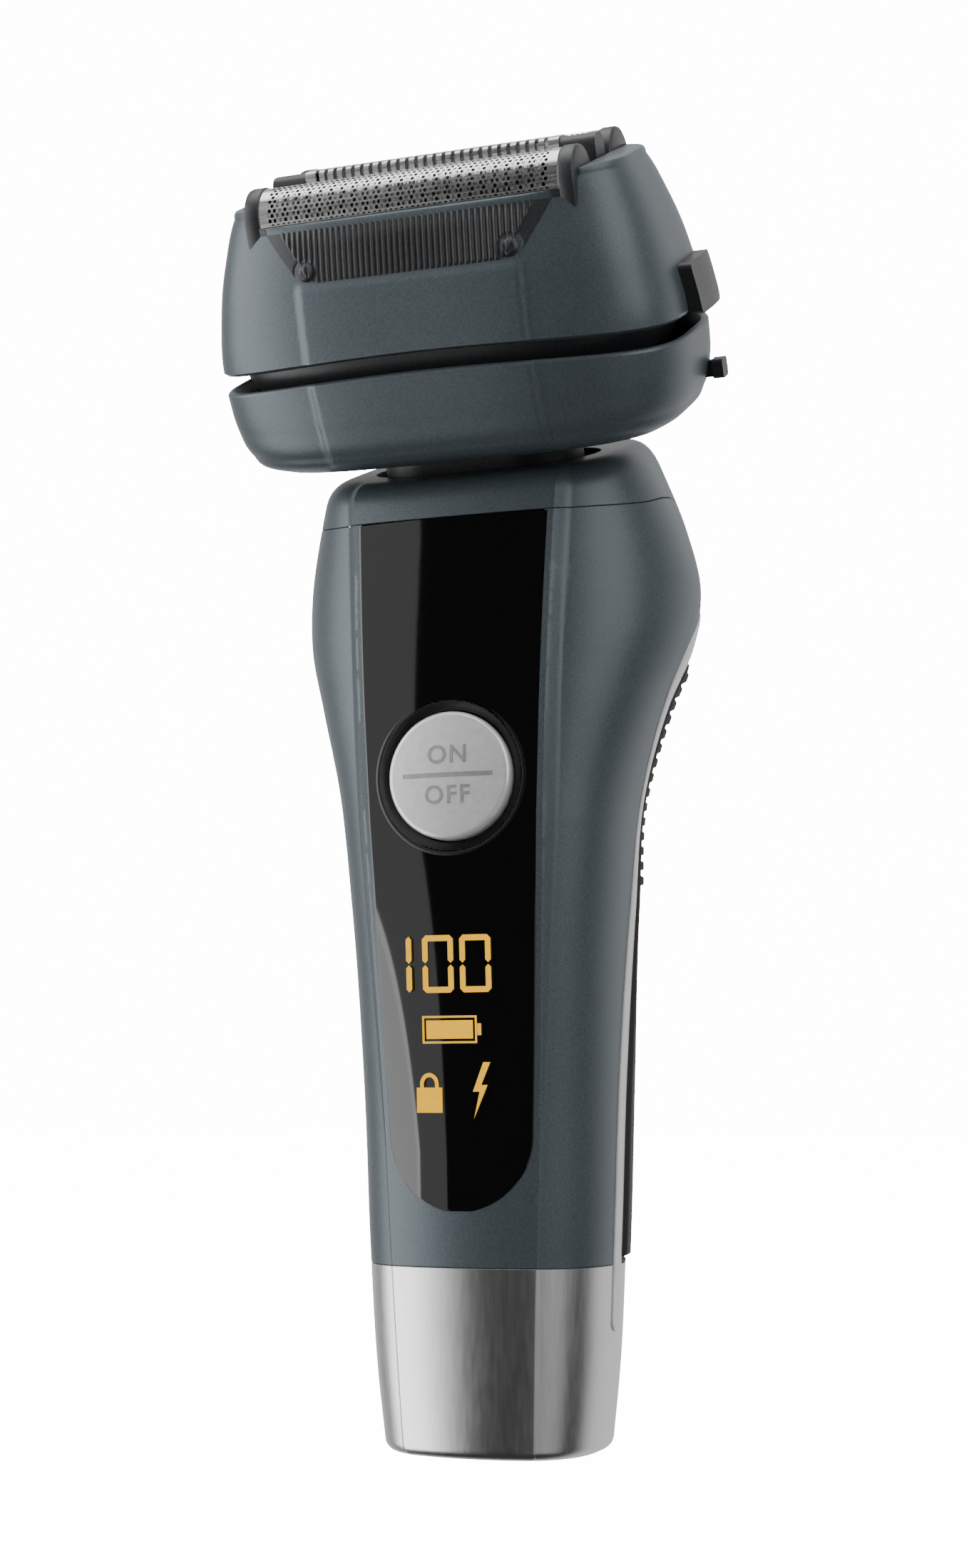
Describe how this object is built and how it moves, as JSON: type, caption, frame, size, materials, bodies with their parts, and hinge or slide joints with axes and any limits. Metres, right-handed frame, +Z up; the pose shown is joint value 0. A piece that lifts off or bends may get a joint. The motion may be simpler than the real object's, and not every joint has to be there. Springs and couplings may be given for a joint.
{
  "type": "electric shaver",
  "caption": "Cordless foil shaver with a tilting, rocking head, twin perforated foils, a centre trimmer, a display window and a power button",
  "frame": {"origin": "centre of the round foot, on the surface it stands on", "axes": "+Z up the handle, -Y towards the display side, +X to the right seen from the display side"},
  "size_m": [0.0634, 0.0518, 0.1615],
  "materials": {
    "grey_paint": "soft-touch grey paint with a fine sparkle",
    "dark_plastic": "fine-grained dark plastic",
    "black_gloss": "piano black window",
    "satin_chrome": "satin chrome plating",
    "silver_trim": "bright satin silver",
    "button_silver": "light satin silver",
    "black_rubber": "ribbed black rubber",
    "amber_glow": "lit amber",
    "foil_steel": "perforated stainless foil",
    "blade_steel": "ground stainless blade",
    "fastener_steel": "zinc-plated steel",
    "white_plastic": "natural white acetal",
    "board_green": "solder-masked board",
    "cell_wrap": "heat-shrink wrap on the cell",
    "motor_steel": "drawn steel can",
    "gold_contact": "gold-plated contact"
  },
  "bodies": {
    "handle": {"main_housing": "grey_paint", "shoulder_cap": "grey_paint", "base_cap": "satin_chrome", "trim_frame": "silver_trim", "rear_cover": "dark_plastic", "rear_grip": "black_rubber", "display_window": "black_gloss", "display_icons": "amber_glow", "display_module": "dark_plastic", "button_bezel": "dark_plastic", "button_switch": "fastener_steel", "circuit_board": "board_green", "battery_cell": "cell_wrap", "inner_chassis": "white_plastic", "base_screws": "fastener_steel", "base_seal": "black_rubber", "charging_socket": "dark_plastic", "contact_pins": "gold_contact", "motor_can": "motor_steel", "motor_band": "white_plastic", "neck_gasket": "black_rubber", "neck_bearings": "white_plastic"},
    "start_button": {"start_button": "button_silver"},
    "rotor": {"motor_shaft": "fastener_steel", "drive_cam": "white_plastic"},
    "cradle": {"neck_collar": "dark_plastic", "pivot_pins": "fastener_steel", "collar_screws": "fastener_steel", "head_cradle": "grey_paint"},
    "swivel_lock": {"swivel_lock": "dark_plastic"},
    "head": {"head_skirt": "dark_plastic", "head_platform": "dark_plastic", "rock_pins": "fastener_steel", "guide_rods": "fastener_steel", "latch_guides": "dark_plastic"},
    "release_left": {"release_button_left": "dark_plastic"},
    "release_right": {"release_button_right": "dark_plastic"},
    "foil_frame": {"foil_frame": "grey_paint", "skin_guide_front": "dark_plastic", "skin_guide_rear": "dark_plastic", "foil_cassette": "dark_plastic"},
    "front_foil": {"front_foil": "foil_steel", "front_foil_caps": "dark_plastic"},
    "rear_foil": {"rear_foil": "foil_steel", "rear_foil_caps": "dark_plastic"},
    "centre_comb": {"centre_comb": "blade_steel", "comb_caps": "dark_plastic"},
    "drive": {"drive_fork": "white_plastic", "drive_bridge": "white_plastic", "front_cutter_springs": "fastener_steel", "rear_cutter_springs": "fastener_steel", "trimmer_spring": "fastener_steel"},
    "front_cutter": {"front_cutter": "blade_steel", "front_cutter_carrier": "dark_plastic"},
    "rear_cutter": {"rear_cutter": "blade_steel", "rear_cutter_carrier": "dark_plastic"},
    "trimmer_blade": {"trimmer_blade": "blade_steel"}
  },
  "joints": [
    {"name": "button_press", "type": "slide", "parent": "handle", "child": "start_button", "axis": [0, 1, 0], "range_m": [0, 0.0006], "stiffness_N_per_m": 1500, "springref_m": -0.0006},
    {"name": "motor_spin", "type": "hinge", "parent": "handle", "child": "rotor", "pos_m": [0, -0.00283, 0.112], "axis": [0, 0, 1], "continuous": true},
    {"name": "neck_tilt", "type": "hinge", "parent": "handle", "child": "cradle", "pos_m": [0, -0.00283, 0.11879], "axis": [1, 0, 0], "range_deg": [-10, 8], "stiffness_Nm_per_rad": 1.2},
    {"name": "lock_slide", "type": "slide", "parent": "cradle", "child": "swivel_lock", "axis": [0, -0.4695, 0.8829], "range_m": [0, 0.0028]},
    {"name": "head_rock", "type": "hinge", "parent": "cradle", "child": "head", "pos_m": [0, -0.01085, 0.13389], "axis": [0, 0.8829, 0.4695], "range_deg": [-3, 3], "stiffness_Nm_per_rad": 1},
    {"name": "frame_lift", "type": "slide", "parent": "head", "child": "foil_frame", "axis": [0, -0.4695, 0.8829], "range_m": [0, 0.012]},
    {"name": "front_foil_float", "type": "slide", "parent": "foil_frame", "child": "front_foil", "axis": [0, 0.4695, -0.8829], "range_m": [0, 0.0015], "stiffness_N_per_m": 500, "springref_m": -0.001},
    {"name": "rear_foil_float", "type": "slide", "parent": "foil_frame", "child": "rear_foil", "axis": [0, 0.4695, -0.8829], "range_m": [0, 0.0015], "stiffness_N_per_m": 500, "springref_m": -0.001},
    {"name": "comb_float", "type": "slide", "parent": "foil_frame", "child": "centre_comb", "axis": [0, 0.4695, -0.8829], "range_m": [0, 0.0015], "stiffness_N_per_m": 500, "springref_m": -0.001},
    {"name": "drive_stroke", "type": "slide", "parent": "head", "child": "drive", "axis": [1, 0, 0], "range_m": [-0.0012, 0.0012]},
    {"name": "front_cutter_float", "type": "slide", "parent": "drive", "child": "front_cutter", "axis": [0, 0.4695, -0.8829], "range_m": [0, 0.0015], "stiffness_N_per_m": 400, "springref_m": -0.001, "deforming": ["front_cutter_springs"]},
    {"name": "rear_cutter_float", "type": "slide", "parent": "drive", "child": "rear_cutter", "axis": [0, 0.4695, -0.8829], "range_m": [0, 0.0015], "stiffness_N_per_m": 400, "springref_m": -0.001, "deforming": ["rear_cutter_springs"]},
    {"name": "blade_float", "type": "slide", "parent": "drive", "child": "trimmer_blade", "axis": [0, 0.4695, -0.8829], "range_m": [0, 0.0015], "stiffness_N_per_m": 400, "springref_m": -0.001, "deforming": ["trimmer_spring"]},
    {"name": "release_left_press", "type": "slide", "parent": "head", "child": "release_left", "axis": [1, 0, 0], "range_m": [0, 0.001], "stiffness_N_per_m": 1200, "springref_m": -0.001},
    {"name": "release_right_press", "type": "slide", "parent": "head", "child": "release_right", "axis": [-1, 0, 0], "range_m": [0, 0.001], "stiffness_N_per_m": 1200, "springref_m": -0.001}
  ],
  "couplings": [
    {"joint": "front_cutter_float", "follows": "front_foil_float", "ratio": 1},
    {"joint": "rear_cutter_float", "follows": "rear_foil_float", "ratio": 1},
    {"joint": "blade_float", "follows": "comb_float", "ratio": 1}
  ]
}
